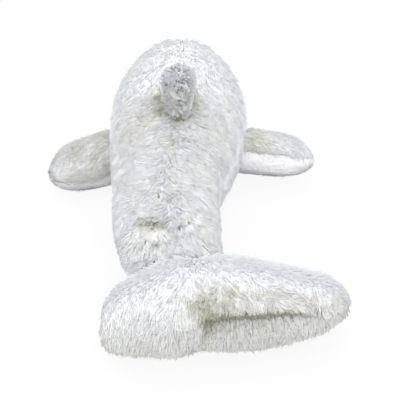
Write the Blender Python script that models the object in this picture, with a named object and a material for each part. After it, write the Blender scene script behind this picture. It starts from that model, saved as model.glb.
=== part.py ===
# Plush dolphin, stuffed and sewn from long-pile cloth, lying on its belly.
# Metres, +Z up. The head points to +Y and the flukes lie at -Y, swung to the dolphin's right.
# The origin is the middle of the flat that the belly rests on.
# Each soft surface is drawn at the tips of its pile.

import math

import bmesh
import bpy
import numpy as np

# Clearances between sewn pieces
SEAM_GAP = 0.0003
FLOOR = 0.0

# Body: place along it, side shift, half width, height of the back, height of the underside
BODY_STATIONS = (
    (0.2130, 0.000, 0.0080, 0.0440, 0.0300),
    (0.2080, 0.000, 0.0165, 0.0500, 0.0250),
    (0.1950, 0.000, 0.0225, 0.0550, 0.0210),
    (0.1840, 0.000, 0.0270, 0.0630, 0.0170),
    (0.1760, 0.000, 0.0340, 0.0800, 0.0140),
    (0.1600, 0.000, 0.0410, 0.0990, 0.0100),
    (0.1300, 0.000, 0.0565, 0.1130, 0.0040),
    (0.0900, 0.000, 0.0695, 0.1200, -0.0010),
    (0.0400, -0.001, 0.0715, 0.1210, -0.0040),
    (-0.0100, -0.004, 0.0650, 0.1150, -0.0040),
    (-0.0600, -0.010, 0.0530, 0.1030, -0.0020),
    (-0.1050, -0.009, 0.0510, 0.0910, 0.0010),
    (-0.1400, -0.004, 0.0465, 0.0770, 0.0040),
    (-0.1680, 0.003, 0.0380, 0.0570, 0.0090),
    (-0.1880, 0.008, 0.0270, 0.0430, 0.0150),
    (-0.1960, 0.010, 0.0150, 0.0360, 0.0220),
)
BODY_WAIST = 0.46
BODY_SQUARENESS = 0.92
BODY_RINGS = 56
BODY_SIDES = 34
SPINE_SEAM_DEPTH = 0.0025
SPINE_SEAM_REACH = math.radians(9)
SPINE_SEAM_START = 0.160

# Share of the easing in the spacing of the sections
EASING = 0.5

# Belly panel, the light short-pile cloth underneath
BELLY_FRONT = 0.168
BELLY_REAR = -0.130
BELLY_DEPTH = 0.026
BELLY_EDGE = 0.004
BELLY_SIDES = 12
CLOSED_SEAM = 0.0006

# Pillow-like pieces: how far each cloth swells past its seam, and the points round it
PILLOW_SWELL = math.radians(24)
PILLOW_SIDES = 16

# Flukes: place across, place along, half chord, seam height, swell above the seam, swell below it
FLUKE_STATIONS = (
    (-0.0665, -0.219, 0.0060, 0.030, 0.0060, 0.0070),
    (-0.0615, -0.218, 0.0200, 0.031, 0.0180, 0.0190),
    (-0.0470, -0.213, 0.0310, 0.034, 0.0250, 0.0310),
    (-0.0230, -0.207, 0.0420, 0.038, 0.0310, 0.0370),
    (0.0010, -0.202, 0.0500, 0.040, 0.0360, 0.0410),
    (0.0210, -0.197, 0.0480, 0.042, 0.0340, 0.0420),
    (0.0470, -0.197, 0.0490, 0.045, 0.0310, 0.0455),
    (0.0800, -0.197, 0.0440, 0.045, 0.0245, 0.0435),
    (0.1100, -0.197, 0.0370, 0.044, 0.0195, 0.0355),
    (0.1350, -0.195, 0.0270, 0.040, 0.0160, 0.0255),
    (0.1500, -0.194, 0.0150, 0.037, 0.0110, 0.0150),
    (0.1560, -0.194, 0.0050, 0.035, 0.0045, 0.0060),
)
FLUKE_TILT = math.radians(17)
FLUKE_RINGS = 36

# Flippers: both from the same pattern, each posed in its own way
FLIPPER_LENGTH = 0.091
FLIPPER_HALF_CHORD = 0.0280
FLIPPER_SWELL_ABOVE = 0.0220
FLIPPER_SWELL_BELOW = 0.0250
FLIPPER_BLUNTNESS = 4.0
FLIPPER_ROUND = math.radians(87)
FLIPPER_RINGS = 12
LEFT_FLIPPER = {"along": 0.026, "height": 0.035, "seat": 0.020, "sweep": -10, "droop": -13, "roll": 11}
RIGHT_FLIPPER = {"along": 0.037, "height": 0.036, "seat": 0.014, "sweep": -2, "droop": -8, "roll": -34}

# Dorsal fin: height above the back, rear edge, front edge, half thickness
FIN_STATIONS = (
    (-0.0220, -0.026, 0.060, 0.0120),
    (0.0000, -0.028, 0.044, 0.0110),
    (0.0150, -0.026, 0.029, 0.0130),
    (0.0300, -0.026, 0.013, 0.0145),
    (0.0410, -0.027, 0.000, 0.0130),
    (0.0470, -0.026, -0.008, 0.0085),
    (0.0500, -0.022, -0.013, 0.0030),
)
FIN_SHIFT = 0.001
FIN_RINGS = 14
FIN_SIDES = 20
FIN_EDGE = 0.75

# Eyes, small shiny domes set into the sides of the head
EYE_ALONG = 0.146
EYE_HEIGHT = 0.056
EYE_DIAMETER = 0.0100
EYE_STANDS_OUT = 0.0030
EYE_SLOPE_STEP = 0.002
EYE_SEGMENTS = 16


def clear_scene():
    for item in list(bpy.data.objects):
        bpy.data.objects.remove(item, do_unlink=True)


def material(name, color, roughness, sheen=0.0):
    made = bpy.data.materials.new(name)
    made.use_nodes = True
    shader = made.node_tree.nodes["Principled BSDF"]
    shader.inputs["Base Color"].default_value = (*color, 1.0)
    shader.inputs["Roughness"].default_value = roughness
    shader.inputs["Metallic"].default_value = 0.0
    shader.inputs["Sheen Weight"].default_value = sheen
    return made


def smooth_through(stations, place):
    # A smooth curve through the stations: the first column is the place, the others are read at it
    table = np.array(sorted(stations))
    places, values = table[:, 0], table[:, 1:]
    steps = np.diff(places)[:, None]
    slopes = np.diff(values, axis=0) / steps
    bends = np.vstack([slopes[:1], (slopes[1:] + slopes[:-1]) / 2, slopes[-1:]])
    i = int(np.clip(np.searchsorted(places, place) - 1, 0, len(places) - 2))
    t = float(np.clip((place - places[i]) / steps[i, 0], 0.0, 1.0))
    start, end = values[i], values[i + 1]
    rise = bends[i] * steps[i, 0]
    fall = bends[i + 1] * steps[i, 0]
    return (
        (2 * t**3 - 3 * t**2 + 1) * start
        + (t**3 - 2 * t**2 + t) * rise
        + (3 * t**2 - 2 * t**3) * end
        + (t**3 - t**2) * fall
    )


def eased_places(start, end, count):
    # Places from start to end, closer together towards both ends, where the form turns in
    turn = np.linspace(0.0, math.pi, count)
    even = turn / math.pi
    eased = (1 - np.cos(turn)) / 2
    return start + (end - start) * ((1 - EASING) * even + EASING * eased)


def loft(name, rings, cloth):
    # A closed solid: quads between rings of points, and a cap on the first and the last ring
    mesh = bmesh.new()
    rows = [[mesh.verts.new(point) for point in ring] for ring in rings]
    for row, following in zip(rows, rows[1:]):
        for k in range(len(row)):
            after = (k + 1) % len(row)
            mesh.faces.new((row[k], row[after], following[after], following[k]))
    mesh.faces.new(rows[0])
    mesh.faces.new(rows[-1])
    bmesh.ops.recalc_face_normals(mesh, faces=mesh.faces)
    data = bpy.data.meshes.new(name)
    mesh.to_mesh(data)
    mesh.free()
    data.shade_smooth()
    data.materials.append(cloth)
    piece = bpy.data.objects.new(name, data)
    bpy.context.collection.objects.link(piece)
    return piece


def cut_away(piece, cutter):
    cut = piece.modifiers.new("seat", "BOOLEAN")
    cut.operation = "DIFFERENCE"
    cut.object = cutter


def body_shape(place, grow=0.0):
    # Side shift, half width, back, waist height and underside of the body at one place along it
    shift, half, back, under = smooth_through(BODY_STATIONS, place)
    waist = under + (back - under) * BODY_WAIST
    return shift, half + grow, back + grow, waist, under - grow


def body_point(shape, angle):
    # A point of one section: 0 degrees is the right side and 90 degrees is the spine
    shift, half, back, waist, under = shape
    across = math.copysign(abs(math.cos(angle)) ** BODY_SQUARENESS, math.cos(angle))
    up = abs(math.sin(angle)) ** BODY_SQUARENESS
    height = waist + (back - waist) * up if math.sin(angle) > 0 else waist - (waist - under) * up
    return shift + half * across, height


def seam_angle(shape, height):
    # How far below the horizontal the section reaches a height
    waist, under = shape[3], shape[4]
    share = min(max((waist - height) / (waist - under), 0.0), 1.0)
    return math.asin(share ** (1 / BODY_SQUARENESS))


def seam_height(place, under):
    # The belly seam: an arc that rises from the underside at both ends of the belly panel
    middle = (BELLY_FRONT + BELLY_REAR) / 2
    reach = (BELLY_FRONT - BELLY_REAR) / 2
    share = 1 - ((place - middle) / reach) ** 2
    if share < 0:
        return under + CLOSED_SEAM
    return under + BELLY_EDGE + (BELLY_DEPTH - BELLY_EDGE) * math.sqrt(share)


def spine_groove(place, angle):
    # The two side cloths meet in a shallow groove along the spine
    nearness = max(0.0, 1 - abs(angle - math.pi / 2) / SPINE_SEAM_REACH)
    return SPINE_SEAM_DEPTH * nearness * (place < SPINE_SEAM_START)


def section(place, start, end, count, grow=0.0):
    # Points of the body's section at one place, from one angle to another
    shape = body_shape(place, grow)
    points = []
    for angle in np.linspace(start, end, count):
        x, z = body_point(shape, angle)
        points.append((x, place, max(z - spine_groove(place, angle), FLOOR - grow)))
    return points


def belly_angle(place, clearance):
    # Where the belly seam crosses the section, as an angle below the horizontal
    shape = body_shape(place)
    return seam_angle(shape, seam_height(place, shape[4]) + clearance)


def body_places():
    # Places of the sections, which include both ends of the belly panel
    places = eased_places(BODY_STATIONS[0][0], BODY_STATIONS[-1][0], BODY_RINGS)
    for end in (BELLY_FRONT, BELLY_REAR):
        places[np.argmin(abs(places - end))] = end
    return places


def build_body(cloth):
    # From the belly seam on the right, over the spine, to the belly seam on the left
    rings = []
    for place in body_places():
        low = belly_angle(place, SEAM_GAP / 2)
        rings.append(section(place, -low, math.pi + low, BODY_SIDES))
    return loft("body", rings, cloth)


def build_seat_cutter(cloth):
    # The whole body grown by the seam gap, which hollows the seat of every piece sewn to it
    rings = []
    places = body_places()
    places[0] += SEAM_GAP
    places[-1] -= SEAM_GAP
    for place in places:
        low = belly_angle(place, SEAM_GAP / 2)
        above = section(place, -low, math.pi + low, BODY_SIDES, SEAM_GAP)
        below = section(place, math.pi + low, 2 * math.pi - low, BELLY_SIDES, SEAM_GAP)
        rings.append(above + below[1:-1])
    cutter = loft("seat_cutter", rings, cloth)
    cutter.hide_render = True
    cutter.display_type = "WIRE"
    return cutter


def build_belly(cloth):
    rings = []
    for place in body_places():
        if BELLY_REAR <= place <= BELLY_FRONT:
            low = belly_angle(place, -SEAM_GAP / 2)
            rings.append(section(place, math.pi + low, 2 * math.pi - low, BELLY_SIDES))
    return loft("belly_panel", rings, cloth)


def half_pillow_ring(centre, chord, up, half_chord, swell):
    # One cloth of a pillow: from its seam it swells out past the seam, over the stuffing and back
    low = math.sin(PILLOW_SWELL)
    side = math.copysign(1.0, swell)
    ring = []
    for angle in np.linspace(-PILLOW_SWELL, math.pi + PILLOW_SWELL, PILLOW_SIDES):
        height = abs(swell) * (math.sin(angle) + low) / (1 + low) + SEAM_GAP / 2
        point = centre + chord * (half_chord * math.cos(angle)) + up * (side * height)
        ring.append((point[0], point[1], max(point[2], FLOOR)))
    return ring


def fluke_rings(upper):
    # Sections across the flukes, each one tilted so that the trailing seam is the higher one
    chord = np.array([0.0, -math.cos(FLUKE_TILT), math.sin(FLUKE_TILT)])
    up = np.array([0.0, math.sin(FLUKE_TILT), math.cos(FLUKE_TILT)])
    rings = []
    for place in eased_places(FLUKE_STATIONS[0][0], FLUKE_STATIONS[-1][0], FLUKE_RINGS):
        along, half_chord, height, above, below = smooth_through(FLUKE_STATIONS, place)
        centre = np.array([place, along, height])
        rings.append(half_pillow_ring(centre, chord, up, half_chord, above if upper else -below))
    return rings


def turned(vector, axis, degrees):
    # A vector turned about an axis, by Rodrigues' formula
    angle = math.radians(degrees)
    across = np.cross(axis, vector)
    return (
        vector * math.cos(angle)
        + across * math.sin(angle)
        + axis * np.dot(axis, vector) * (1 - math.cos(angle))
    )


def flipper_rings(side, pose, upper):
    # Sections out along a flipper, from inside its seat on the body to its round tip
    shape = body_shape(pose["along"])
    low = seam_angle(shape, pose["height"])
    side_point = body_point(shape, -low)[0] if side > 0 else body_point(shape, math.pi + low)[0]
    sweep, droop = math.radians(pose["sweep"]), math.radians(pose["droop"])
    outward = np.array([side * math.cos(sweep) * math.cos(droop), math.sin(sweep), math.sin(droop)])
    outward /= np.linalg.norm(outward)
    chord = np.cross(outward, (0.0, 0.0, 1.0)) * side
    chord = turned(chord / np.linalg.norm(chord), outward * side, pose["roll"])
    up = np.cross(chord, outward) * side
    root = np.array([side_point, pose["along"], pose["height"]]) - outward * pose["seat"]
    swell = FLIPPER_SWELL_ABOVE if upper else -FLIPPER_SWELL_BELOW
    rings = []
    for reach in np.sin(np.linspace(0.0, FLIPPER_ROUND, FLIPPER_RINGS)):
        fullness = (1 - reach**FLIPPER_BLUNTNESS) ** 0.5
        centre = root + outward * (FLIPPER_LENGTH * reach)
        ring = half_pillow_ring(centre, chord, up, FLIPPER_HALF_CHORD * fullness, swell * fullness)
        rings.append(ring)
    return rings


def fin_rings():
    # Level sections up the dorsal fin, each one an oval with narrow edges front and rear
    spine = body_shape(0.0)[2]
    rings = []
    for height in eased_places(FIN_STATIONS[0][0], FIN_STATIONS[-1][0], FIN_RINGS):
        rear, front, half = smooth_through(FIN_STATIONS, height)
        ring = []
        for angle in np.linspace(0.0, 2 * math.pi, FIN_SIDES, endpoint=False):
            across = math.copysign(abs(math.sin(angle)) ** FIN_EDGE, math.sin(angle))
            along = (front + rear) / 2 + (front - rear) / 2 * math.cos(angle)
            ring.append((FIN_SHIFT + half * across, along, spine + height))
        rings.append(ring)
    return rings


def build_eye(name, side, gloss):
    # A dome that looks out of the side of the head
    shape = body_shape(EYE_ALONG)
    low = seam_angle(shape, EYE_HEIGHT)
    x = body_point(shape, -low)[0] if side > 0 else body_point(shape, math.pi + low)[0]
    ahead = body_shape(EYE_ALONG + EYE_SLOPE_STEP)[1] - body_shape(EYE_ALONG - EYE_SLOPE_STEP)[1]
    outward = np.array([side, -ahead / (2 * EYE_SLOPE_STEP), 0.0])
    outward /= np.linalg.norm(outward)
    radius = EYE_DIAMETER / 2
    centre = np.array([x, EYE_ALONG, EYE_HEIGHT]) - outward * (radius - EYE_STANDS_OUT)
    mesh = bmesh.new()
    bmesh.ops.create_uvsphere(mesh, u_segments=EYE_SEGMENTS, v_segments=EYE_SEGMENTS // 2, radius=radius)
    bmesh.ops.translate(mesh, verts=mesh.verts, vec=centre)
    data = bpy.data.meshes.new(name)
    mesh.to_mesh(data)
    mesh.free()
    data.shade_smooth()
    data.materials.append(gloss)
    eye = bpy.data.objects.new(name, data)
    bpy.context.collection.objects.link(eye)
    return eye


def main():
    clear_scene()
    long_pile = material("long_pile_cloth", (0.80, 0.81, 0.79), 0.95, 0.3)
    short_pile = material("short_pile_cloth", (0.86, 0.83, 0.84), 0.90, 0.2)
    gloss = material("eye_gloss", (0.012, 0.011, 0.010), 0.12)

    build_body(long_pile)
    build_belly(short_pile)
    cutter = build_seat_cutter(long_pile)

    sewn_on = [
        loft("fluke_upper", fluke_rings(True), long_pile),
        loft("fluke_lower", fluke_rings(False), long_pile),
        loft("dorsal_fin", fin_rings(), long_pile),
        build_eye("eye_left", -1, gloss),
        build_eye("eye_right", 1, gloss),
    ]
    for name, side, pose in (("left", -1, LEFT_FLIPPER), ("right", 1, RIGHT_FLIPPER)):
        upper = flipper_rings(side, pose, True)
        under = flipper_rings(side, pose, False)
        sewn_on.append(loft(f"flipper_{name}_upper", upper, long_pile))
        sewn_on.append(loft(f"flipper_{name}_under", under, short_pile))
    for piece in sewn_on:
        cut_away(piece, cutter)


main()
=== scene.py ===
import math
import time

import bpy
import numpy as np
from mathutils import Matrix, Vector


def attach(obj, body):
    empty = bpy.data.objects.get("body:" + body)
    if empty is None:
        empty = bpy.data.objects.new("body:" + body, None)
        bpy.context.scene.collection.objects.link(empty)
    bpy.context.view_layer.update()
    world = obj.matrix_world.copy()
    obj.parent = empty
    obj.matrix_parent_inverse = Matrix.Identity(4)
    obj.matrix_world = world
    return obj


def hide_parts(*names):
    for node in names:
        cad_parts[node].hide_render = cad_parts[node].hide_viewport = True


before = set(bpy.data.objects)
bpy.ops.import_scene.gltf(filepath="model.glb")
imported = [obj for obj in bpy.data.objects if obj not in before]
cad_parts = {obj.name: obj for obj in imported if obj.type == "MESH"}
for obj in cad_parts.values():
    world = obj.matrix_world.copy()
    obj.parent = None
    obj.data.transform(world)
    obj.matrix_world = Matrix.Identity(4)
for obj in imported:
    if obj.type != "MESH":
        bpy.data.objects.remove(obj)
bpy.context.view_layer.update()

startTime = time.time()


def report(stage):
    print(f"{stage}: {time.time() - startTime:.1f} s")


# surfaces of the toy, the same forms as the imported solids, at the tips of the pile

body = {
    # place along, side shift, half width, back, underside
    "stations": (
        (0.2130, 0.000, 0.0080, 0.0440, 0.0300),
        (0.2080, 0.000, 0.0165, 0.0500, 0.0250),
        (0.1950, 0.000, 0.0225, 0.0550, 0.0210),
        (0.1840, 0.000, 0.0270, 0.0630, 0.0170),
        (0.1760, 0.000, 0.0340, 0.0800, 0.0140),
        (0.1600, 0.000, 0.0410, 0.0990, 0.0100),
        (0.1300, 0.000, 0.0565, 0.1130, 0.0040),
        (0.0900, 0.000, 0.0695, 0.1200, -0.0010),
        (0.0400, -0.001, 0.0715, 0.1210, -0.0040),
        (-0.0100, -0.004, 0.0650, 0.1150, -0.0040),
        (-0.0600, -0.010, 0.0530, 0.1030, -0.0020),
        (-0.1050, -0.009, 0.0510, 0.0910, 0.0010),
        (-0.1400, -0.004, 0.0465, 0.0770, 0.0040),
        (-0.1680, 0.003, 0.0380, 0.0570, 0.0090),
        (-0.1880, 0.008, 0.0270, 0.0430, 0.0150),
        (-0.1960, 0.010, 0.0150, 0.0360, 0.0220),
    ),
    "waist": 0.46,  # share of the height at which it is widest
    "squareness": 0.92,
    "bellyFront": 0.168,
    "bellyRear": -0.130,
    "bellyDepth": 0.026,
    "bellyEdge": 0.004,
    "closedSeam": 0.0006,  # height of the seam in front of and behind the belly panel
    "coreEnds": (-0.170, 0.195),
}

fluke = {
    # place across, place along, half chord, seam height, swell above, swell below
    "stations": (
        (-0.0665, -0.219, 0.0060, 0.030, 0.0060, 0.0070),
        (-0.0615, -0.218, 0.0200, 0.031, 0.0180, 0.0190),
        (-0.0470, -0.213, 0.0310, 0.034, 0.0250, 0.0310),
        (-0.0230, -0.207, 0.0420, 0.038, 0.0310, 0.0370),
        (0.0010, -0.202, 0.0500, 0.040, 0.0360, 0.0410),
        (0.0210, -0.197, 0.0480, 0.042, 0.0340, 0.0420),
        (0.0470, -0.197, 0.0490, 0.045, 0.0310, 0.0455),
        (0.0800, -0.197, 0.0440, 0.045, 0.0245, 0.0435),
        (0.1100, -0.197, 0.0370, 0.044, 0.0195, 0.0355),
        (0.1350, -0.195, 0.0270, 0.040, 0.0160, 0.0255),
        (0.1500, -0.194, 0.0150, 0.037, 0.0110, 0.0150),
        (0.1560, -0.194, 0.0050, 0.035, 0.0045, 0.0060),
    ),
    "tilt": math.radians(17),
    "swell": math.radians(24),  # how far each cloth swells past its seam
    "coreEnds": (-0.040, 0.125),
}

flipper = {
    "length": 0.091,
    "halfChord": 0.0280,
    "above": 0.0220,
    "below": 0.0250,
    "bluntness": 4.0,
    "coreEnd": 0.70,
    # place, depth of the seat in the body, and angles in degrees
    "left": {"side": -1, "along": 0.026, "height": 0.035, "seat": 0.020,
             "sweep": -10, "droop": -13, "roll": 11},
    "right": {"side": 1, "along": 0.037, "height": 0.036, "seat": 0.014,
              "sweep": -2, "droop": -8, "roll": -34},
}

fin = {
    # height above the back, rear edge, front edge, half thickness
    "stations": (
        (-0.0220, -0.026, 0.060, 0.0120),
        (0.0000, -0.028, 0.044, 0.0110),
        (0.0150, -0.026, 0.029, 0.0130),
        (0.0300, -0.026, 0.013, 0.0145),
        (0.0410, -0.027, 0.000, 0.0130),
        (0.0470, -0.026, -0.008, 0.0085),
        (0.0500, -0.022, -0.013, 0.0030),
    ),
    "shift": 0.001,
    "edge": 0.75,
}


def readStations(stations, where):
    # cubic Hermite curve through the stations, with the mean of both neighbours' slopes at each
    table = np.array(sorted(stations))
    places, values = table[:, 0], table[:, 1:]
    steps = np.diff(places)[:, None]
    slopes = np.diff(values, axis=0) / steps
    bends = np.vstack([slopes[:1], (slopes[1:] + slopes[:-1]) / 2, slopes[-1:]])
    i = np.clip(np.searchsorted(places, where) - 1, 0, len(places) - 2)
    t = np.clip((where - places[i]) / steps[i, 0], 0, 1)[:, None]
    read = (
        (2 * t**3 - 3 * t**2 + 1) * values[i]
        + (t**3 - 2 * t**2 + t) * bends[i] * steps[i]
        + (3 * t**2 - 2 * t**3) * values[i + 1]
        + (t**3 - t**2) * bends[i + 1] * steps[i]
    )
    return read.T


def power(x, exponent):
    return np.sign(x) * np.abs(x) ** exponent


def unit(v):
    return v / np.maximum(np.linalg.norm(v, axis=-1, keepdims=True), 1e-9)


def bodySeam(along):
    # angle below the horizontal at which the belly seam crosses the section
    _, _, back, under = readStations(body["stations"], along)
    middle = (body["bellyFront"] + body["bellyRear"]) / 2
    reach = (body["bellyFront"] - body["bellyRear"]) / 2
    share = 1 - ((along - middle) / reach) ** 2
    rise = body["bellyEdge"] + (body["bellyDepth"] - body["bellyEdge"]) * np.sqrt(np.maximum(share, 0))
    rise = np.where(share < 0, body["closedSeam"], rise)
    waist = (back - under) * body["waist"]
    low = np.clip((waist - rise) / waist, 0, 1) ** (1 / body["squareness"])
    return np.arcsin(low)


def bodySection(along, angle):
    # superellipse: x = half width * cos(a)^p, z = waist + height * sin(a)^p, pressed flat at the floor
    shift, half, back, under = readStations(body["stations"], along)
    waist = under + (back - under) * body["waist"]
    up = power(np.sin(angle), body["squareness"])
    z = waist + np.where(up > 0, back - waist, waist - under) * up
    x = shift + half * power(np.cos(angle), body["squareness"])
    return np.stack([x, along, np.maximum(z, 0)], 1)


def bodySurface(along, around):
    # around 0 to 1 runs from the right belly seam over the spine to the left one
    low = bodySeam(along)
    return bodySection(along, -low + around * (math.pi + 2 * low))


def bellySurface(along, around):
    low = bodySeam(along)
    return bodySection(along, math.pi + low + around * (math.pi - 2 * low))


def pillowSection(centre, chord, up, halfChord, swell, around, side):
    # centre + chord * cos(a) + up * (sin(a) + sin(s)) / (1 + sin(s)), with a from -s to pi + s
    low = fluke["swell"]
    angle = -low + around * (math.pi + 2 * low)
    height = swell * (np.sin(angle) + math.sin(low)) / (1 + math.sin(low))
    point = centre + chord * (halfChord * np.cos(angle))[:, None] + up * (side * height)[:, None]
    point[:, 2] = np.maximum(point[:, 2], 0)
    return point


def flukeSurface(side):
    def surface(across, around):
        # across runs from the left tip to the right tip, around from the trailing seam to the leading one
        along, halfChord, height, above, below = readStations(fluke["stations"], across)
        tilt = fluke["tilt"]
        chord = np.array([0, -math.cos(tilt), math.sin(tilt)])
        up = np.array([0, math.sin(tilt), math.cos(tilt)])
        centre = np.stack([across, along, height], 1)
        return pillowSection(centre, chord, up, halfChord, above if side > 0 else below, around, side)
    return surface


def turned(vector, axis, degrees):
    # Rodrigues: v cos(t) + (k x v) sin(t) + k (k . v)(1 - cos(t))
    t = math.radians(degrees)
    turn = vector * math.cos(t) + np.cross(axis, vector) * math.sin(t)
    return turn + axis * (axis @ vector) * (1 - math.cos(t))


def flipperFrame(name):
    pose = flipper[name]
    side, along = pose["side"], np.array([pose["along"]])
    _, _, back, under = (float(v[0]) for v in readStations(body["stations"], along))
    waist = under + (back - under) * body["waist"]
    low = math.asin(max(0, (waist - pose["height"]) / (waist - under)) ** (1 / body["squareness"]))
    root = bodySection(along, np.array([-low if side > 0 else math.pi + low]))[0]
    sweep, droop = math.radians(pose["sweep"]), math.radians(pose["droop"])
    outward = unit(np.array([side * math.cos(sweep) * math.cos(droop), math.sin(sweep), math.sin(droop)]))
    chord = unit(np.cross(outward, (0, 0, 1)) * side)
    chord = turned(chord, outward * side, pose["roll"])
    up = np.cross(chord, outward) * side
    return root - outward * pose["seat"], outward, chord, up


def flipperSurface(name, side):
    root, outward, chord, up = flipperFrame(name)
    swell = flipper["above"] if side > 0 else flipper["below"]

    def surface(reach, around):
        # chord and swell shrink as sqrt(1 - reach^n) towards the round tip
        full = np.sqrt(np.maximum(1 - reach ** flipper["bluntness"], 0))
        centre = root + outward * (flipper["length"] * reach)[:, None]
        return pillowSection(centre, chord, up, flipper["halfChord"] * full, swell * full, around, side)
    return surface


def finSurface(height, around):
    # level ovals: x = half * sin(a)^e, y between the rear and the front edge by cos(a)
    rear, front, half = readStations(fin["stations"], height)
    angle = around * 2 * math.pi
    spine = float(readStations(body["stations"], np.zeros(1))[2][0])
    x = fin["shift"] + half * power(np.sin(angle), fin["edge"])
    y = (front + rear) / 2 + (front - rear) / 2 * np.cos(angle)
    return np.stack([x, y, spine + height], 1)


def bodyCore(along, around):
    # the middle of the section, kept back from the beak's end
    where = np.clip(along, *body["coreEnds"])
    shift, _, back, under = readStations(body["stations"], where)
    return np.stack([shift, where, under + (back - under) * body["waist"]], 1)


def flukeCore(across, around):
    # the middle of the seam plane, kept back from both tips
    where = np.clip(across, *fluke["coreEnds"])
    along, _, height, _, _ = readStations(fluke["stations"], where)
    return np.stack([where, along, height], 1)


def flipperCore(name):
    root, outward, _, _ = flipperFrame(name)

    def core(reach, around):
        # the middle line, kept back from the tip
        return root + outward * (flipper["length"] * np.minimum(reach, flipper["coreEnd"]))[:, None]
    return core


def surfaceFrame(surface, u, v, stepU, outward):
    # point, unit tangents along u and v, and the unit normal, by central differences
    stepV = 1e-3
    point = surface(u, v)
    alongU = unit(surface(u + stepU, v) - surface(u - stepU, v))
    alongV = unit(surface(u, v + stepV) - surface(u, v - stepV))
    return point, alongU, alongV, unit(np.cross(alongU, alongV)) * outward


def insideBody(points, margin):
    # inside the body's section at the same place along it, grown by a margin
    shift, half, back, under = readStations(body["stations"], points[:, 1])
    waist = under + (back - under) * body["waist"]
    tall = np.where(points[:, 2] > waist, back - waist, waist - under) + margin
    across = np.abs(points[:, 0] - shift) / (half + margin)
    up = np.abs(points[:, 2] - waist) / tall
    ends = (points[:, 1] > body["stations"][-1][0]) & (points[:, 1] < body["stations"][0][0])
    exponent = 2 / body["squareness"]
    return ends & (across**exponent + up**exponent < 1)


# smooth noise, worked out from hashed lattice corners


def hashed(cells, seed):
    # a repeatable number from 0 to 1 for each whole-numbered cell
    n = cells.astype(np.int64)
    h = n[..., 0] * 73856093 ^ n[..., 1] * 19349663 ^ n[..., 2] * 83492791 ^ (seed * 2654435761 & 0xFFFFFFFF)
    h = (h ^ (h >> 13)) * 1274126177 & 0xFFFFFFFF
    h = (h ^ (h >> 16)) * 2246822519 & 0xFFFFFFFF
    return (h ^ (h >> 15)).astype(float) % 1000003 / 1000003


def noise(points, size, seed):
    # trilinear value noise from -1 to 1 with features of the given size
    p = points / size
    cell = np.floor(p)
    t = p - cell
    t = t * t * (3 - 2 * t)
    total = 0
    for corner in np.ndindex(2, 2, 2):
        c = np.array(corner)
        weight = np.prod(np.where(c, t, 1 - t), axis=1)
        total = total + weight * hashed(cell + c, seed)
    return total * 2 - 1


def clumps(points, size, seed):
    # number of the nearest of the points that are scattered one to a cell
    cell = np.floor(points / size)
    best = np.full(len(points), np.inf)
    owner = np.zeros((len(points), 3))
    for offset in np.ndindex(3, 3, 3):
        near = cell + np.array(offset) - 1
        spot = np.stack([hashed(near, seed + k) for k in range(3)], 1)
        distance = np.sum(((near + spot) * size - points) ** 2, axis=1)
        closer = distance < best
        best[closer], owner[closer] = distance[closer], near[closer]
    return np.unique(owner, axis=0, return_inverse=True)[1].ravel()


# materials


def newMaterial(name):
    material = bpy.data.materials.new(name)
    material.use_nodes = True
    nodes = material.node_tree.nodes
    return material, nodes, material.node_tree.links, nodes["Principled BSDF"]


def ramp(nodes, stops):
    node = nodes.new("ShaderNodeValToRGB")
    elements = node.color_ramp.elements
    while len(elements) < len(stops):
        elements.new(0.5)
    for element, (place, color) in zip(elements, stops):
        element.position, element.color = place, (*color, 1)
    return node


furLooks = {
    # colours from the root over the middle to the tip of a hair, in a lit, a plain and a shaded copy:
    # painted light and shade, with the darker roots as painted shade deep in the pile
    "coolLit": ((0.82, 0.84, 0.86), (0.865, 0.885, 0.915), (0.88, 0.905, 0.945)),
    "plain": ((0.72, 0.72, 0.68), (0.865, 0.87, 0.862), (0.895, 0.90, 0.90)),
    "shady": ((0.20, 0.19, 0.13), (0.56, 0.56, 0.48), (0.83, 0.83, 0.79)),
    "plainAt": 0.35,
    "roughness": 0.85,
    "sheen": 0.15,
}

# the short pile's copies likewise; its near-white lit copy is partly painted light on the flippers' shaded
# undersides
shortLooks = {
    "coolLit": ((0.90, 0.88, 0.90), (0.95, 0.935, 0.95), (0.97, 0.96, 0.975)),
    "plain": ((0.76, 0.73, 0.74), (0.90, 0.88, 0.89), (0.95, 0.93, 0.94)),
    "shady": ((0.45, 0.42, 0.43), (0.70, 0.67, 0.68), (0.86, 0.84, 0.85)),
    "plainAt": 0.35,
    "roughness": 0.9,
    "sheen": 0.80,
}


def furMaterial(name, looks):
    # the map's V runs from the root to the tip of each hair, its U from cool, lit hairs over plain to shady
    # hairs: painted light and shade
    material, nodes, links, shader = newMaterial(name)
    place = nodes.new("ShaderNodeUVMap")
    place.uv_map = "OFBake"
    split = nodes.new("ShaderNodeSeparateXYZ")
    links.new(place.outputs["UV"], split.inputs["Vector"])
    color = None
    for kind, low, high in (("coolLit", 0, 0), ("plain", 0, looks["plainAt"]), ("shady", looks["plainAt"], 1)):
        hair = ramp(nodes, tuple(zip((0.0, 0.5, 1.0), looks[kind])))
        links.new(split.outputs["Y"], hair.inputs["Fac"])
        if color is None:
            color = hair.outputs["Color"]
            continue
        share = nodes.new("ShaderNodeMapRange")
        share.inputs["From Min"].default_value, share.inputs["From Max"].default_value = low, high
        blend = nodes.new("ShaderNodeMix")
        blend.data_type = "RGBA"
        links.new(split.outputs["X"], share.inputs["Value"])
        links.new(share.outputs["Result"], blend.inputs["Factor"])
        links.new(color, blend.inputs["A"])
        links.new(hair.outputs["Color"], blend.inputs["B"])
        color = blend.outputs["Result"]
    links.new(color, shader.inputs["Base Color"])
    shader.inputs["Roughness"].default_value = looks["roughness"]
    shader.inputs["Sheen Weight"].default_value = looks["sheen"]
    shader.inputs["Sheen Roughness"].default_value = 0.5
    return material


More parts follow.
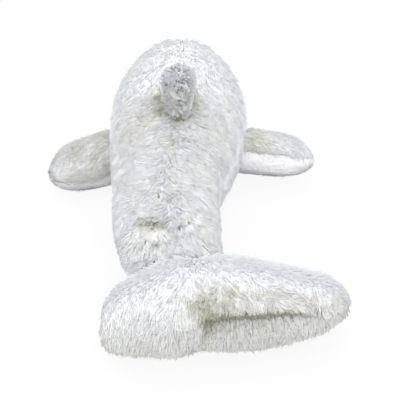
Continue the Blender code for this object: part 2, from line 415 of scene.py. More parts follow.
def clothMaterial(name, dark, light, grain):
    # knitted backing under the pile: fine noise between two tones, with a matching bump
    material, nodes, links, shader = newMaterial(name)
    place = nodes.new("ShaderNodeTexCoord")
    speckle = nodes.new("ShaderNodeTexNoise")
    speckle.inputs["Scale"].default_value = grain
    speckle.inputs["Detail"].default_value = 4
    tone = ramp(nodes, ((0.35, dark), (0.65, light)))
    bump = nodes.new("ShaderNodeBump")
    bump.inputs["Strength"].default_value = 0.5
    bump.inputs["Distance"].default_value = 0.001
    links.new(place.outputs["Object"], speckle.inputs["Vector"])
    links.new(speckle.outputs["Fac"], tone.inputs["Fac"])
    links.new(speckle.outputs["Fac"], bump.inputs["Height"])
    links.new(tone.outputs["Color"], shader.inputs["Base Color"])
    links.new(bump.outputs["Normal"], shader.inputs["Normal"])
    shader.inputs["Roughness"].default_value = 0.95
    return material


longPile = furMaterial("longPileFur", furLooks)
shortPile = furMaterial("shortPileFur", shortLooks)
# the long pile's backing is olive grey and darker than its hair: painted shade for the gaps and partings in
# the pile
backing = clothMaterial("knittedBacking", (0.74, 0.74, 0.70), (0.85, 0.85, 0.83), 900)
softBacking = clothMaterial("shortPileBacking", (0.82, 0.80, 0.81), (0.90, 0.88, 0.89), 1500)


# stuffed cloth under the pile

clothForm = {
    "fill": 0.8,  # how tightly it is stuffed
    "floor": 0.0006,  # metres kept above the floor
}


def closedMesh(name, points, rings, sides, material):
    # quads between rings that close on themselves, and a fan to a middle point at both ends,
    # turned outwards by the sign of the volume, the sum of a . (b x c) over the faces
    first = np.arange(rings - 1)[:, None] * sides + np.arange(sides)
    after = np.arange(rings - 1)[:, None] * sides + (np.arange(sides) + 1) % sides
    quads = np.stack([first, after, after + sides, first + sides], -1).reshape(-1, 4)
    ends = np.arange(sides)
    last = (rings - 1) * sides
    capA = np.stack([(ends + 1) % sides, ends, np.full(sides, rings * sides)], 1)
    capB = np.stack([last + ends, last + (ends + 1) % sides, np.full(sides, rings * sides + 1)], 1)
    middles = np.stack([points[:sides].mean(0), points[-sides:].mean(0)])
    mesh = bpy.data.meshes.new(name)
    mesh.from_pydata(np.vstack([points, middles]), [], [*quads.tolist(), *capA.tolist(), *capB.tolist()])
    a, b, c, d = (points[quads[:, k]] for k in range(4))
    volume = np.sum(a * np.cross(b, c)) + np.sum(a * np.cross(c, d))
    if volume < 0:
        mesh.flip_normals()
    mesh.shade_smooth()
    mesh.materials.append(material)
    piece = bpy.data.objects.new(name, mesh)
    bpy.context.collection.objects.link(piece)
    return piece


def pileDepth(patch, u, v):
    # how far the cloth lies below the tips: less towards a narrow end
    depth = patch["depth"] * np.ones(len(u))
    if "narrow" in patch:
        start, end, least = patch["narrow"]
        depth = depth * np.clip(1 - (1 - least) * (u - start) / (end - start), least, 1)
    return depth


def drawnIn(patch, point, normal, u, v, extra):
    # the place under a point of the tips' surface: towards the core line by the pile's depth,
    # at most half of the way, or straight along the normal where the patch has no core line
    depth = pileDepth(patch, u, v) + extra
    if "core" not in patch:
        return point - normal * depth[:, None], normal
    inward = patch["core"](u, v) - point
    far = np.linalg.norm(inward, axis=1)
    radial = -inward / np.maximum(far, 1e-6)[:, None]
    return point - radial * np.minimum(depth, far * 0.5)[:, None], unit(normal + radial * patch["radial"])


def clothPiece(name, nodeName, patch, material):
    # the patch's grid drawn in by the depth of its pile
    u = np.linspace(*patch["u"], patch["rings"])
    v = np.linspace(0, 1, patch["sides"], endpoint=not patch.get("round"))
    gridU, gridV = (g.ravel() for g in np.meshgrid(u, v, indexing="ij"))
    point, _, _, normal = surfaceFrame(patch["surface"], gridU, gridV, patch["stepU"], patch["outward"])
    point = drawnIn(patch, point, normal, gridU, gridV, 0)[0]
    point[:, 2] = np.maximum(point[:, 2], clothForm["floor"])
    piece = closedMesh(name, point, patch["rings"], patch["sides"], material)
    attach(piece, "root")
    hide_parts(nodeName)


# fur: closed four-sided locks, each a bent blade, widest where it bends and pointed at root and tip

lockForm = {
    # lengths in metres, angles in radians
    "belowCloth": 0.0008,  # the roots start under the cloth
    "floor": 0.0003,  # kept above the floor
    "swirlSizes": (0.020, 0.007),
    "stray": 0.16,  # random turn in the skin's plane
    "curlSize": 0.006,
    "lengthSpread": 0.18,
    "lengthLimits": (-1.6, 1.3),  # in spreads
    "startRise": 0.42,  # the first stretch is steeper than the lay, the second one flatter
    "startSpread": 0.06,
    "endDrop": 0.30,
    "endSpread": 0.08,
    "bendAt": 0.45,  # share of the length
    "bendPull": 0.4,  # share of a tuft's pull that reaches the bend
    "looseRise": 0.32,  # how far loose hairs stand off the others
    "looseWidth": 0.4,
    "leastWidth": 0.75,
    "widthSpread": 0.5,
    "roll": 0.10,
    "toneSpread": 0.02,
    "toneLimits": (0.01, 0.97),
    "skinShare": 0.98,  # how far a lock is lit as the skin below it is
    "leastFacing": 0.06,  # cosine kept between a lit normal and its own face
    "tufts": ((0.0100, 0.22, 21), (0.0040, 0.35, 31)),  # size, pull and seed
}


def scatter(patch, rng):
    # roots spread evenly over the area: cells drawn by their area, then a random place in the cell
    rows, columns = 160, 120
    u = np.linspace(*patch["u"], rows + 1)
    v = np.linspace(*patch.get("v", (0, 1)), columns + 1)
    gridU, gridV = (g.ravel() for g in np.meshgrid(u, v, indexing="ij"))
    grid = patch["surface"](gridU, gridV).reshape(rows + 1, columns + 1, 3)
    across = np.cross(grid[1:, :-1] - grid[:-1, :-1], grid[:-1, 1:] - grid[:-1, :-1])
    area = np.linalg.norm(across, axis=2).ravel()
    count = int(area.sum() * 1e6 * patch["density"])
    cell = rng.choice(len(area), count, p=area / area.sum())
    row, column = np.divmod(cell, columns)
    placeU = u[row] + (u[row + 1] - u[row]) * rng.random(count)
    placeV = v[column] + (v[column + 1] - v[column]) * rng.random(count)
    return placeU, placeV


def plantRoots(patch, rng):
    # roots under the cloth, with the skin's normal and tangents and their place on the patch
    u, v = scatter(patch, rng)
    tip, alongU, alongV, normal = surfaceFrame(patch["surface"], u, v, patch["stepU"], patch["outward"])
    root, normal = drawnIn(patch, tip, normal, u, v, lockForm["belowCloth"])
    keep = patch["keep"](root, tip)
    return [a[keep] for a in (root, normal, alongU, alongV, u, v)]


def combedWay(root, normal, style, rng):
    # the comb pressed into the skin's plane, then turned there by smooth swirls and a random stray
    comb = style["comb"]
    comb = unit(comb - normal * np.sum(comb * normal, axis=1, keepdims=True))
    side = np.cross(normal, comb)
    large, small = lockForm["swirlSizes"]
    swirl = style["swirl"] * (noise(root, large, 11) + 0.5 * noise(root, small, 12))
    swirl = swirl + rng.normal(0, lockForm["stray"], len(root))
    return comb * np.cos(swirl)[:, None] + side * np.sin(swirl)[:, None]


def bendHairs(root, normal, comb, style, rng):
    # two straight stretches, each normal * cos(angle) + comb * sin(angle), the second one also curled
    count = len(root)
    spread = rng.normal(0, 1, count).clip(*lockForm["lengthLimits"])
    length = style["length"] * (1 + lockForm["lengthSpread"] * spread)
    loose = rng.random(count) < style["loose"]  # some thin hairs stand off the pile and blur its outline
    lay = style["lay"] - lockForm["looseRise"] * loose
    start = lay - lockForm["startRise"] + lockForm["startSpread"] * rng.normal(0, 1, count)
    end = lay + lockForm["endDrop"] + lockForm["endSpread"] * rng.normal(0, 1, count)
    first = normal * np.cos(start)[:, None] + comb * np.sin(start)[:, None]
    curl = style["curl"] * noise(root, lockForm["curlSize"], 14)
    side = np.cross(normal, comb)
    ahead = comb * np.cos(curl)[:, None] + side * np.sin(curl)[:, None]
    second = normal * np.cos(end)[:, None] + ahead * np.sin(end)[:, None]
    bend = root + first * (length * lockForm["bendAt"])[:, None]
    tip = bend + second * (length * (1 - lockForm["bendAt"]))[:, None]
    return bend, tip, loose


def gather(points, owner, pull):
    # moves each point towards the mean of its tuft
    members = np.bincount(owner)[:, None]
    middle = np.stack([np.bincount(owner, points[:, k]) for k in range(3)], 1) / members
    return points + (middle[owner] - points) * pull[:, None]


def tuftUp(root, bend, tip, tufts, clumping):
    # gathers bends and tips by tufts, larger ones first, and numbers each hair's smallest tuft
    for size, pull, seed in tufts:
        owner = clumps(root, size, seed)
        tip = gather(tip, owner, pull * clumping)
        bend = gather(bend, owner, pull * clumping * lockForm["bendPull"])
    return bend, tip, owner


def bladePoints(root, bend, tip, normal, width, rng):
    # root, left and right of the bend, tip: the width runs along axis x normal, rolled a little
    axis = unit(tip - root)
    flat = unit(np.cross(axis, normal))
    roll = rng.normal(0, lockForm["roll"], len(root))
    flat = flat * np.cos(roll)[:, None] + np.cross(axis, flat) * np.sin(roll)[:, None]
    left, right = (bend + flat * (width * s)[:, None] for s in (-0.5, 0.5))
    inward = np.sum(np.cross(left - root, right - root) * (tip - root), axis=1) < 0
    left[inward], right[inward] = right[inward], left[inward]
    points = np.stack([root, left, right, tip], 1).reshape(-1, 3)
    points[:, 2] = np.maximum(points[:, 2], lockForm["floor"])
    return points, flat, axis


def triangleMesh(name, points, faces):
    # straight from whole arrays
    mesh = bpy.data.meshes.new(name)
    mesh.vertices.add(len(points))
    mesh.vertices.foreach_set("co", points.ravel())
    mesh.loops.add(len(faces) * 3)
    mesh.loops.foreach_set("vertex_index", faces.ravel())
    mesh.polygons.add(len(faces))
    mesh.polygons.foreach_set("loop_start", np.arange(len(faces)) * 3)
    mesh.update(calc_edges=True)
    return mesh


def mapLocks(mesh, faces, tone, rise, top):
    # U is the hair's tone, V goes from rise at the root to top at the tip
    nudge = np.array([0.0, -0.008, 0.008, 0.0])  # the two sides of a lock differ a little
    half = rise + (top - rise) * 0.5
    up = np.stack([rise, half, half, top], 1)
    across = np.clip(tone, *lockForm["toneLimits"])[:, None] + nudge
    uv = np.stack([across.ravel(), up.ravel()], 1)
    layer = mesh.uv_layers.new(name="OFBake")
    layer.uv.foreach_set("vector", uv[faces.ravel()].astype(np.float32).ravel())


def softenNormals(mesh, points, faces, normal, sides, axis):
    # each lock is lit mostly as the skin below it is: skin normal * s + own normal * (1 - s),
    # turned just far enough that it never points against its own face
    share = lockForm["skinShare"]
    own = np.stack([normal, *sides, axis], 1)
    mixed = unit(normal[:, None, :] * share + own * (1 - share)).reshape(-1, 3)
    corner = mixed[faces]
    p = points[faces]
    face = unit(np.cross(p[:, 1] - p[:, 0], p[:, 2] - p[:, 0]))[:, None, :]
    against = np.minimum(np.sum(corner * face, axis=2, keepdims=True) - lockForm["leastFacing"], 0)
    corner = unit(corner - face * against)
    mesh.shade_smooth()
    mesh.normals_split_custom_set(corner.reshape(-1, 3))


def growLocks(name, patch, material):
    # one lock of four points and four triangles to each root
    rng = np.random.default_rng(patch["seed"])
    root, normal, alongU, alongV, u, v = plantRoots(patch, rng)
    count = len(root)
    style = patch["comb"](root, normal, alongU, alongV, u, v)
    single = ("clumping", "rootRise", "tipRise", "lift")
    clumping, rise, top, lift = (style[key] + np.zeros(count) for key in single)

    comb = combedWay(root, normal, style, rng)
    bend, tip, loose = bendHairs(root, normal, comb, style, rng)
    bend, tip, owner = tuftUp(root, bend, tip, patch.get("tufts", lockForm["tufts"]), clumping)
    tuft = rng.normal(0, 1, owner.max() + 1)[owner]  # hairs of one tuft share their tone
    broad = np.where(loose, lockForm["looseWidth"], style["broad"])
    thick = lockForm["leastWidth"] + lockForm["widthSpread"] * rng.random(count)
    width = patch["width"] * thick * broad
    points, flat, axis = bladePoints(root, bend, tip, normal, width, rng)
    pattern = np.array([(0, 2, 1), (3, 1, 2), (0, 1, 3), (0, 3, 2)])
    faces = (np.arange(count)[:, None, None] * 4 + pattern).reshape(-1, 3)

    mesh = triangleMesh(name, points, faces)
    tone = style["shade"] + style["tuftTone"] * tuft + lockForm["toneSpread"] * rng.normal(0, 1, count)
    mapLocks(mesh, faces, tone, rise, top)
    lit = unit(normal + lift[:, None] * np.array([0, 0, 1]))  # loose pile takes its light from above
    softenNormals(mesh, points, faces, lit, (-flat, flat), axis)
    mesh.materials.append(material)
    piece = bpy.data.objects.new(name, mesh)
    bpy.context.collection.objects.link(piece)
    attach(piece, "root")
    print(f"{name}: {count} locks, {len(faces)} triangles")


# how each region is combed: comb is a direction, lay the angle from upright (1.57 lies flat), shade
# 0 cool to 1 shady, rootRise and tipRise the places on the ramps at which a hair begins and ends,
# lift how far its light comes from above, broad its width's factor; shade, rootRise and tipRise
# paint light and shade into the hair's colour


def lineNearness(points, line, reach):
    # 1 on a polyline and 0 past its reach, by the distance to its nearest stretch
    best = np.full(len(points), np.inf)
    for a, b in zip(np.array(line[:-1]), np.array(line[1:])):
        share = np.clip(((points - a) @ (b - a)) / ((b - a) @ (b - a)), 0, 1)
        best = np.minimum(best, np.linalg.norm(points - a - share[:, None] * (b - a), axis=1))
    return np.clip(1 - best / reach, 0, 1)


def ramped(x, start, length):
    # 0 up to the start, 1 past the length
    return np.clip((x - start) / length, 0, 1)


def weighed(table, masks):
    # every row of the table: its base plus each mask times its weight
    rows = {}
    for key, row in table.items():
        rows[key] = sum(weight * masks[mask] for mask, weight in row.items())
    return rows


# where the tail stock runs into the flukes, the hair painted lighter there: painted light in the groove's
# shade
tailJoin = {"line": ((0.002, -0.160, 0.060), (0.028, -0.158, 0.058), (0.046, -0.158, 0.055)), "reach": 0.020}

backLines = {
    # reach, and points in the shared frame: the spine's seam behind the fin, the dent on the tail
    # stock, the creases round the fin's foot and the shady hollow beside it, each darkened with painted
    # shade
    "seam": (0.0028, ((0.000, -0.0254, 0.1046), (-0.0035, -0.0467, 0.0993), (-0.0059, -0.0679, 0.0939))),
    "dent": (0.0085, ((-0.0265, -0.1290, 0.0720), (-0.0130, -0.1320, 0.0737))),
    "foot": (0.0090, ((0.0130, 0.034, 0.112), (0.0105, 0.0163, 0.1104), (0.0030, -0.0060, 0.1085),
                      (-0.0140, -0.0060, 0.1070), (-0.0140, 0.0154, 0.1103), (-0.0145, 0.0360, 0.1122))),
    "hollow": (0.024, ((-0.0370, -0.0200, 0.0970), (-0.0290, -0.0040, 0.1045), (-0.0260, 0.0160, 0.1080))),
}
backTable = {
    "lay": {"base": 1.24, "ruffles": -0.20, "rough": 0.18, "dent": 0.3},
    "length": {"base": 0.0130, "ruffled": 0.0010, "dent": -0.007, "seam": -0.004, "foot": -0.003,
               "beak": -0.0065},
    # painted shade: darker in the dent, the seam's parting, the fin's creases and hollow, between the
    # ruffled tufts and on the right half of the ruffled back; painted light: lighter at the tail's join and
    # on the flanks
    "shade": {"base": 0.08, "ruffles": 0.16, "rightRuffles": 0.14, "mottled": 1, "broadMottle": 0.10,
              "dent": 0.95, "seam": 0.40, "foot": 0.75, "hollow": 0.38, "join": -0.25, "flank": -0.22},
    "swirl": {"base": 0.15, "ruffled": 0.75},
    "curl": {"ruffled": 0.9},
    "clumping": {"spine": 0.15, "ruffledSpine": 1.1},
    "tuftTone": {"base": 0.01, "ruffles": 0.11},
    "loose": {"base": 0.05, "ruffled": 0.08, "flank": 0.10},
    "broad": {"base": 1.3, "ruffles": -0.2},
    # darker roots and tips in the dent, seam, creases, hollow and ruffles are painted shade, lighter roots
    # at the join and on the flanks painted light
    "rootRise": {"base": 0.55, "ruffles": -0.28, "join": 0.2, "flank": 0.30, "hollow": -0.4, "dent": -1,
                 "seam": -1, "foot": -1},
    "tipRise": {"base": 0.98, "dent": -0.45, "seam": -0.30, "foot": -0.30, "hollow": -0.10},
    "lift": {"base": 0.30, "flank": 0.45, "join": 0.6},
}
riseLimits = (0.02, 0.75)


def combBack(root, normal, alongU, alongV, u, v):
    # the nap runs back from the beak, and on the ruffled back also out from the spine
    place = root[:, 1]
    masks = {key: lineNearness(root, line, reach) for key, (reach, line) in backLines.items()}
    front = ramped(place, 0.080, 0.05)
    ruffled = ramped(-place, -0.048, 0.045)
    flank = ramped(np.abs(v - 0.5), 0.18, 0.15)
    ruffles = ruffled * (1 - flank)
    spine = np.clip(np.abs(v - 0.5) / 0.04, 0, 1)  # 0 on the spine
    # flank and join paint light into the hair, ruffles and rightRuffles paint shade
    masks.update({
        "base": 1, "ruffled": ruffled, "flank": flank, "ruffles": ruffles, "spine": spine,
        "ruffledSpine": ruffled * spine,
        "rough": noise(root, 0.011, 5) * ruffles,
        "beak": ramped(place, 0.170, 0.03),
        "mottled": (0.14 * noise(root, 0.008, 6) + 0.14 * noise(root, 0.016, 16)) * ruffles,
        "broadMottle": noise(root, 0.03, 13),
        "rightRuffles": np.clip(root[:, 0] / 0.02, 0, 1) * ruffles,
        "join": lineNearness(root, tailJoin["line"], tailJoin["reach"]),
    })
    outward = alongV * np.clip((v - 0.5) / (0.16 - 0.06 * front), -1, 1)[:, None]
    away = unit(root - np.mean(backLines["dent"][1], axis=0))
    style = weighed(backTable, masks)
    style["rootRise"] = np.clip(style["rootRise"], *riseLimits)
    style["comb"] = (outward * (0.30 + 0.65 * (ruffled + front))[:, None]
                     - alongU * (1 - 0.40 * ruffled - 0.4 * front)[:, None]
                     + away * (masks["dent"] * 0.3)[:, None])
    return style


def combBeakEnd(root, normal, alongU, alongV, u, v):
    # the last hairs close over the end of the beak, towards a point just past it
    style = combBack(root, normal, alongU, alongV, u, v)
    style["comb"] = np.array([0.0, 0.2165, np.mean(root[:, 2])]) - root
    style["lay"] = 1.90  # past flat
    return style


flukeLines = {
    # where the top nap ends and the hanging one begins: place across, share of the way round
    "partingPlace": (-0.065, -0.037, -0.0195, 0.0096, 0.026, 0.043, 0.060, 0.076, 0.094, 0.115, 0.130),
    "partingRound": (0.020, 0.000, 0.043, 0.073, 0.070, 0.060, 0.060, 0.080, 0.060, 0.040, 0.020),
    "darkPlace": (0.026, 0.040, 0.110, 0.125),  # where the parting shows as a dark line of painted shade
    "belowPlace": (0.032, 0.042, 0.070, 0.090),  # where it also shades the hair below it
    "notch": ((0.0165, -0.2300, 0.0700), (0.0215, -0.2275, 0.0705), (0.0260, -0.2310, 0.0670),
              (0.029, -0.2345, 0.056)),
    "fold": ((0.027, -0.2340, 0.056), (0.027, -0.2400, 0.041), (0.027, -0.2330, 0.0225)),
    "middle": 0.045,
    "round": 0.12,  # length of a way round, in metres
}
flukeTable = {
    "lay": {"base": 1.20, "smoothTop": 0.08, "rough": -0.20, "roughNoise": 0.20},
    # painted shade: darker in the ruffled band, on the hanging hair, along the parting, in the notch's
    # crease and below the parting; painted light: lighter at the tail's join
    "shade": {"base": 0.01, "rough": 0.66, "hanging": 0.38, "mottled": 1, "parting": 0.90,
              "crease": 0.75, "below": 0.30, "join": -0.3},
    "swirl": {"base": 0.18, "rough": 0.9},
    "curl": {"rough": 1.0},
    "clumping": {"base": 0.18, "rough": 1.1, "hanging": 0.2},
    "tuftTone": {"base": 0.01, "rough": 0.14, "hanging": 0.05},
    "loose": {"base": 0.05, "rough": 0.10},
    "broad": {"base": 1.3},
    # darker roots and tips in the band, on the hanging hair, along the parting, in the crease and below it
    # are painted shade
    "rootRise": {"base": 0.60, "rough": -0.45, "hanging": -0.45, "parting": -1, "crease": -1, "below": -1},
    "tipRise": {"base": 0.98, "rough": -0.14, "dimmed": -1, "crease": -0.30, "below": -0.2},
    "lift": {"leading": 1.3, "join": 0.5, "hanging": -0.42, "rightHanging": -0.13},
}


def flukeMasks(side, root, v):
    # past is the distance above the parting in metres, below 0 on the hanging hair
    x = root[:, 0]
    ways = np.interp(x, flukeLines["partingPlace"], flukeLines["partingRound"])
    past = (v - ways if side > 0 else -(v + ways)) * flukeLines["round"]
    shown = np.interp(x, flukeLines["darkPlace"], (0, 1, 1, 0))
    parting = np.clip(1.4 - np.abs(past - 0.002) / 0.006, 0, 1) * shown
    right = ramped(x, 0.010, 0.03)
    hanging = np.clip(0.5 - past / (0.006 + 0.018 * (1 - right)), 0, 1)
    rough = ramped(-past, -0.044, 0.016) * (1 - hanging) * (0.45 + 0.55 * right)
    gap = lineNearness(root, flukeLines["notch"], 0.012)
    below = hanging * np.clip(1 + past / 0.016, 0, 1)
    mottled = 0.18 * noise(root, 0.006, 8) + 0.14 * noise(root, 0.014, 17)
    return {
        "base": 1, "past": past, "shown": shown, "parting": parting, "hanging": hanging, "rough": rough,
        "crease": np.maximum(gap, 0.15 * lineNearness(root, flukeLines["fold"], 0.007)),
        "below": below * np.interp(x, flukeLines["belowPlace"], (0, 1, 1, 0)),
        "join": lineNearness(root, tailJoin["line"], tailJoin["reach"]),
        "leading": ramped(v, 0.45, 0.25) * (side > 0),
        "smoothTop": (1 - rough) * (1 - hanging),
        "roughNoise": noise(root, 0.009, 7) * rough,
        "mottled": mottled * (0.10 + rough),
        "dimmed": np.maximum(0.60 * parting, 0.56 * hanging),
        "rightHanging": right * hanging,
    }


def flukeLength(x, masks):
    # shorter at the tips, in the creases and beside the shown parting, where it grows again with distance
    past, shown = masks["past"], masks["shown"]
    tipness = ramped(np.abs(x - flukeLines["middle"]), 0.080, 0.030)
    length = 0.0130 * (1 - 0.25 * tipness)
    short = np.where(past > 0, 0.003 + 0.65 * past, 0.004 - 1.2 * past)
    length = length + (np.minimum(length, short) - length) * shown
    return length * (1 - 0.5 * masks["crease"])


def combFluke(side):
    def comb(root, normal, alongU, alongV, u, v):
        # over the top the nap runs to the trailing seam, at the leading side outward, below it hangs
        masks = flukeMasks(side, root, v)
        hanging, leading = masks["hanging"][:, None], masks["leading"][:, None]
        outward = alongU * np.clip((root[:, 0] - 0.018) / 0.02, -1, 1)[:, None]
        style = weighed(flukeTable, masks)
        style["clumping"] = style["clumping"] * (1 - 0.7 * masks["parting"])
        style["rootRise"] = np.clip(style["rootRise"], *riseLimits)
        style["length"] = flukeLength(root[:, 0], masks)
        style["comb"] = (np.array([0.0, -0.25, -1.0]) * hanging + outward * (0.15 + 1.1 * leading)
                         - alongV * side * (1 - hanging) * (1 - 1.5 * leading))
        return style
    return comb


flipperTable = {
    "lay": {"base": 1.10},
    "length": {"base": 0.0115, "tipness": -0.0115 * 0.35},
    # painted shade in the armpit; besides that the left flipper is darker and the tips lighter
    "shade": {"base": 0.40, "side": -0.18, "inner": 0.50, "mottled": 0.24, "tipness": -0.25},
    "swirl": {"base": 0.5},
    "curl": {"base": 0.6},
    "clumping": {"base": 0.9},
    "tuftTone": {"base": 0.13},
    "loose": {"base": 0.18},
    "broad": {"base": 1.2},
    "rootRise": {"base": 0.15},
    "tipRise": {"base": 0.98},
    "lift": {"base": 0.5},
}


def combFlipper(side):
    def comb(root, normal, alongU, alongV, u, v):
        # outward and back, shorter round the tip, with dark roots in the armpit: painted shade
        style = weighed(flipperTable, {
            "base": 1, "side": side,
            "inner": np.clip(1 - (u - 0.24) / 0.26, 0, 1) * np.clip(1.6 - v / 0.4, 0, 1),
            "tipness": ramped(u, 0.65, 0.25),
            "mottled": noise(root, 0.008, 9),
        })
        style["comb"] = np.array([side * 0.75, -0.7, 0.0])
        return style
    return comb


shortStyle = {
    "comb": np.array([0.0, -1.0, -0.2]), "lay": 1.15, "length": 0.0060, "shade": 0.05, "swirl": 0.6,
    "curl": 0.2, "clumping": 1.0, "tuftTone": 0.03, "loose": 0.05, "broad": 1.4, "rootRise": 0.70,
    "tipRise": 0.98, "lift": 0.6,
}


def combShort(root, normal, alongU, alongV, u, v):
    # the same all over
    return shortStyle


finDot = (0.001, 0.1110)  # the spot of painted shade behind its foot, where it meets the back: place across and height
finTable = {
    "lay": {"base": 0.62, "crown": 0.20, "rough": 0.2},
    "length": {"base": 0.0115, "dot": -0.007},
    # painted shade in the creases at its foot and the spot behind it, painted light on the crown
    "shade": {"base": 0.24, "crown": -0.34, "crease": 0.28, "dot": 0.80, "mottled": 0.24},
    "swirl": {"base": 1.1},
    "curl": {"base": 1.2},
    "clumping": {"base": 1.5},
    "tuftTone": {"base": 0.12},
    "loose": {"base": 0.30},
    "broad": {"base": 1.1},
    "rootRise": {"base": 0.35, "foot": -0.2, "crown": 0.45},
    "tipRise": {"base": 0.98, "dot": -0.6},
    "lift": {"base": 0.8},
}


def combFin(root, normal, alongU, alongV, u, v):
    # up and back, with dark roots in the creases at its foot and a lighter crown: painted shade and painted
    # light
    rear = np.clip(-normal[:, 1], 0, 1)
    fromDot = np.hypot(root[:, 0] - finDot[0], root[:, 2] - finDot[1])
    style = weighed(finTable, {
        "base": 1,
        "foot": np.clip(1 - u / 0.016, 0, 1),
        "crown": ramped(u, 0.025, 0.02),
        "crease": np.exp(-((rear - 0.45) / 0.25) ** 2) * np.clip(1.15 - u / 0.040, 0, 1),
        "dot": np.clip(1.3 - fromDot / 0.008, 0, 1) * (rear > 0.3),
        "mottled": noise(root, 0.006, 10),
        "rough": noise(root, 0.008, 15),
    })
    style["comb"] = np.array([0.0, -0.7, 0.45])
    return style


# the toy's cloths and the pile on them

longWidth, shortWidth = 0.0009, 0.0012

# how far inside the fin's foot the bare place ends, and the height above which it lies
finBare = {"rear": 0.013, "front": 0.008, "side": 0.007, "above": 0.08}


def keepOffFin(root, tip):
    # no pile grows under the fin
    rear, front, half = readStations(fin["stations"], np.zeros(len(root)))
    under = (root[:, 1] > rear + finBare["rear"]) & (root[:, 1] < front - finBare["front"])
    within = np.abs(root[:, 0] - fin["shift"]) < half - finBare["side"]
    return ~(under & within & (root[:, 2] > finBare["above"]))


def keepOutside(root, tip):
    # nor inside the body
    return ~insideBody(tip, -0.004)


def clothPatch(surface, ends, grid, outward, depth, **more):
    # a surface with its range of u, its rings and sides, the side that faces out, and the pile's depth
    return {"surface": surface, "u": ends, "rings": grid[0], "sides": grid[1], "outward": outward,
            "depth": depth, "stepU": 5e-4, **more}


bodyCloth = {"core": bodyCore, "radial": 0.3, "narrow": (0.165, 0.205, 0.35)}  # pile shortens to the beak
flukeCloth = {"core": flukeCore, "radial": 1.0}
clothPatches = {
    "body": clothPatch(bodySurface, (-0.1955, 0.2125), (110, 80), 1, 0.0070, **bodyCloth),
    "belly_panel": clothPatch(bellySurface, (-0.1295, 0.1675), (70, 36), 1, 0.0025),
    "fluke_upper": clothPatch(flukeSurface(1), (-0.0655, 0.1550), (64, 40), 1, 0.0064, **flukeCloth),
    "fluke_lower": clothPatch(flukeSurface(-1), (-0.0655, 0.1550), (64, 40), -1, 0.0064, **flukeCloth),
    "dorsal_fin": clothPatch(finSurface, (-0.0210, 0.0495), (30, 36), 1, 0.0055, round=True),
}
for name, side in (("left", -1), ("right", 1)):
    flipperCloth = {"core": flipperCore(name), "radial": 1.0, "stepU": 2e-3}
    clothPatches[f"flipper_{name}_upper"] = {
        **clothPatch(flipperSurface(name, 1), (0.02, 0.992), (36, 28), side, 0.0050), **flipperCloth}
    clothPatches[f"flipper_{name}_under"] = {
        **clothPatch(flipperSurface(name, -1), (0.02, 0.992), (36, 28), -side, 0.0020), **flipperCloth}

for name, patch in clothPatches.items():
    if "belly" in name or "under" in name:
        clothPiece(f"{name}_cloth", name, patch, softBacking)
    else:
        clothPiece(f"{name}_cloth", name, patch, backing)
report("cloth")


def pileOn(name, density, seed, comb, **more):
    # locks to the square millimetre on a whole cloth, or on the part of it that more says
    return {**clothPatches[name], "density": density, "seed": seed, "comb": comb, "keep": keepOutside,
            "width": longWidth, **more}


def pileOnBody(ends, sides, density, seed, comb=combBack):
    return pileOn("body", density, seed, comb, u=ends, v=sides, keep=keepOffFin)


leftHalf, rightHalf = (0.5, 1.0), (0.0, 0.5)
head, back, tail = (0.045, 0.2125), (-0.060, 0.045), (-0.172, -0.060)
fineTufts = ((0.0075, 0.22, 21), (0.0032, 0.30, 31))
longPieces = {
    "head_fur_left": pileOnBody(head, leftHalf, 1.21, 101),
    "head_fur_right": pileOnBody(head, rightHalf, 1.21, 102),
    "beak_end_fur": pileOnBody((0.2095, 0.2125), (0.0, 1.0), 2.2, 114, combBeakEnd),
    "back_fur_left": pileOnBody(back, leftHalf, 1.42, 103),
    "back_fur_right": pileOnBody(back, rightHalf, 1.42, 104),
    "tail_fur_left": pileOnBody(tail, leftHalf, 1.42, 105),
    "tail_fur_right": pileOnBody(tail, rightHalf, 1.42, 106),
    "fluke_upper_fur": pileOn("fluke_upper", 1.50, 107, combFluke(1), tufts=fineTufts),
    "fluke_lower_fur": pileOn("fluke_lower", 1.05, 108, combFluke(-1)),
    "dorsal_fin_fur": pileOn("dorsal_fin", 1.65, 109, combFin),
    "flipper_left_upper_fur": pileOn("flipper_left_upper", 1.42, 110, combFlipper(-1)),
    "flipper_right_upper_fur": pileOn("flipper_right_upper", 1.42, 111, combFlipper(1)),
}
for name, patch in longPieces.items():
    growLocks(name, patch, longPile)

shortLock = {"width": shortWidth, "tufts": ((0.003, 0.08, 41),)}
for name, seed in (("left", 112), ("right", 113)):
    patch = pileOn(f"flipper_{name}_under", 1.20, seed, combShort, **shortLock)
    growLocks(f"flipper_{name}_under_pile", patch, shortPile)
report("fur")


# eyes keep their solids and get a deep black gloss

eyeGloss, _, _, shader = newMaterial("eyeGloss")
shader.inputs["Base Color"].default_value = (0.012, 0.011, 0.010, 1)
shader.inputs["Roughness"].default_value = 0.08
shader.inputs["Coat Weight"].default_value = 1.0
shader.inputs["Coat Roughness"].default_value = 0.03
for name in ("eye_left", "eye_right"):
    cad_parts[name].material_slots[0].material = eyeGloss


# floor, light and camera

stageLooks = {"floorSize": 6.0, "floorColor": (0.82, 0.82, 0.82), "whiteShare": 0.90}
lightLooks = {
    "world": 1.20,
    "aim": (0.02, -0.04, 0.05),
    "keyLight": {"place": (-0.15, 0.10, 1.40), "size": 1.4, "power": 4.5},
    "fillLight": {"place": (0.60, -0.9, 0.80), "size": 1.0, "power": 1.2},
}
view = {"target": (0.022, -0.043, 0.030), "elevation": 38.0, "distance": 1.0, "lens": 90.0}


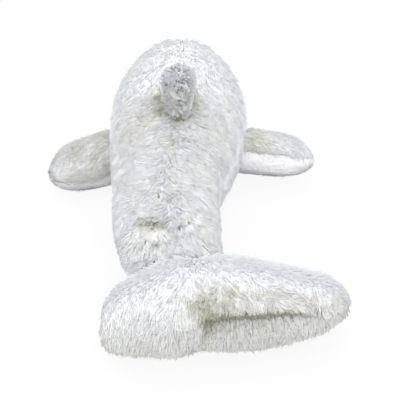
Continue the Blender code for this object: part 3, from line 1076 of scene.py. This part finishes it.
def whiteFloor():
    size = stageLooks["floorSize"] / 2
    mesh = bpy.data.meshes.new("floor")
    corners = [(-size, -size, 0), (size, -size, 0), (size, size, 0), (-size, size, 0)]
    mesh.from_pydata(corners, [], [(0, 1, 2, 3)])
    floor = bpy.data.objects.new("floor", mesh)
    bpy.context.collection.objects.link(floor)
    material = bpy.data.materials.new("floorWhite")
    material.use_nodes = True
    nodes, links = material.node_tree.nodes, material.node_tree.links
    nodes.clear()
    output = nodes.new("ShaderNodeOutputMaterial")
    paper = nodes.new("ShaderNodeBsdfDiffuse")
    paper.inputs["Color"].default_value = (*stageLooks["floorColor"], 1)
    glow = nodes.new("ShaderNodeEmission")
    path = nodes.new("ShaderNodeLightPath")
    share = nodes.new("ShaderNodeMath")
    share.operation = "MULTIPLY"
    share.inputs[1].default_value = stageLooks["whiteShare"]
    mix = nodes.new("ShaderNodeMixShader")
    links.new(path.outputs["Is Camera Ray"], share.inputs[0])
    links.new(share.outputs[0], mix.inputs["Fac"])
    links.new(paper.outputs[0], mix.inputs[1])
    links.new(glow.outputs[0], mix.inputs[2])
    links.new(mix.outputs[0], output.inputs["Surface"])
    mesh.materials.append(material)


def whiteWorld():
    world = bpy.data.worlds.new("studio")
    bpy.context.scene.world = world
    world.use_nodes = True
    nodes, links = world.node_tree.nodes, world.node_tree.links
    background = nodes["Background"]
    path = nodes.new("ShaderNodeLightPath")
    seen = nodes.new("ShaderNodeMath")
    seen.operation = "MAXIMUM"
    level = nodes.new("ShaderNodeMapRange")
    level.inputs["To Min"].default_value = lightLooks["world"]
    level.inputs["To Max"].default_value = 1.0
    links.new(path.outputs["Is Camera Ray"], seen.inputs[0])
    links.new(path.outputs["Is Glossy Ray"], seen.inputs[1])
    links.new(seen.outputs[0], level.inputs["Value"])
    links.new(level.outputs["Result"], background.inputs["Strength"])
    background.inputs["Color"].default_value = (1, 1, 1, 1)


def softBox(name):
    looks = lightLooks[name]
    lamp = bpy.data.lights.new(name, "AREA")
    lamp.shape = "SQUARE"
    lamp.size = looks["size"]
    lamp.energy = looks["power"]
    holder = bpy.data.objects.new(name, lamp)
    bpy.context.collection.objects.link(holder)
    holder.location = looks["place"]
    aim = Vector(lightLooks["aim"]) - Vector(looks["place"])
    holder.rotation_euler = aim.to_track_quat("-Z", "Y").to_euler()


def camera():
    data = bpy.data.cameras.new("camera")
    data.lens = view["lens"]
    data.sensor_width = 36.0
    data.clip_start = 0.05
    holder = bpy.data.objects.new("camera", data)
    bpy.context.collection.objects.link(holder)
    rise = math.radians(view["elevation"])
    back = Vector((0, -math.cos(rise), math.sin(rise))) * view["distance"]
    holder.location = Vector(view["target"]) + back
    holder.rotation_euler = (-back).to_track_quat("-Z", "Y").to_euler()
    bpy.context.scene.camera = holder


whiteFloor()
whiteWorld()
softBox("keyLight")
softBox("fillLight")
camera()
bpy.context.scene.view_settings.view_transform = "Standard"

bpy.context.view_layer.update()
report("scene")
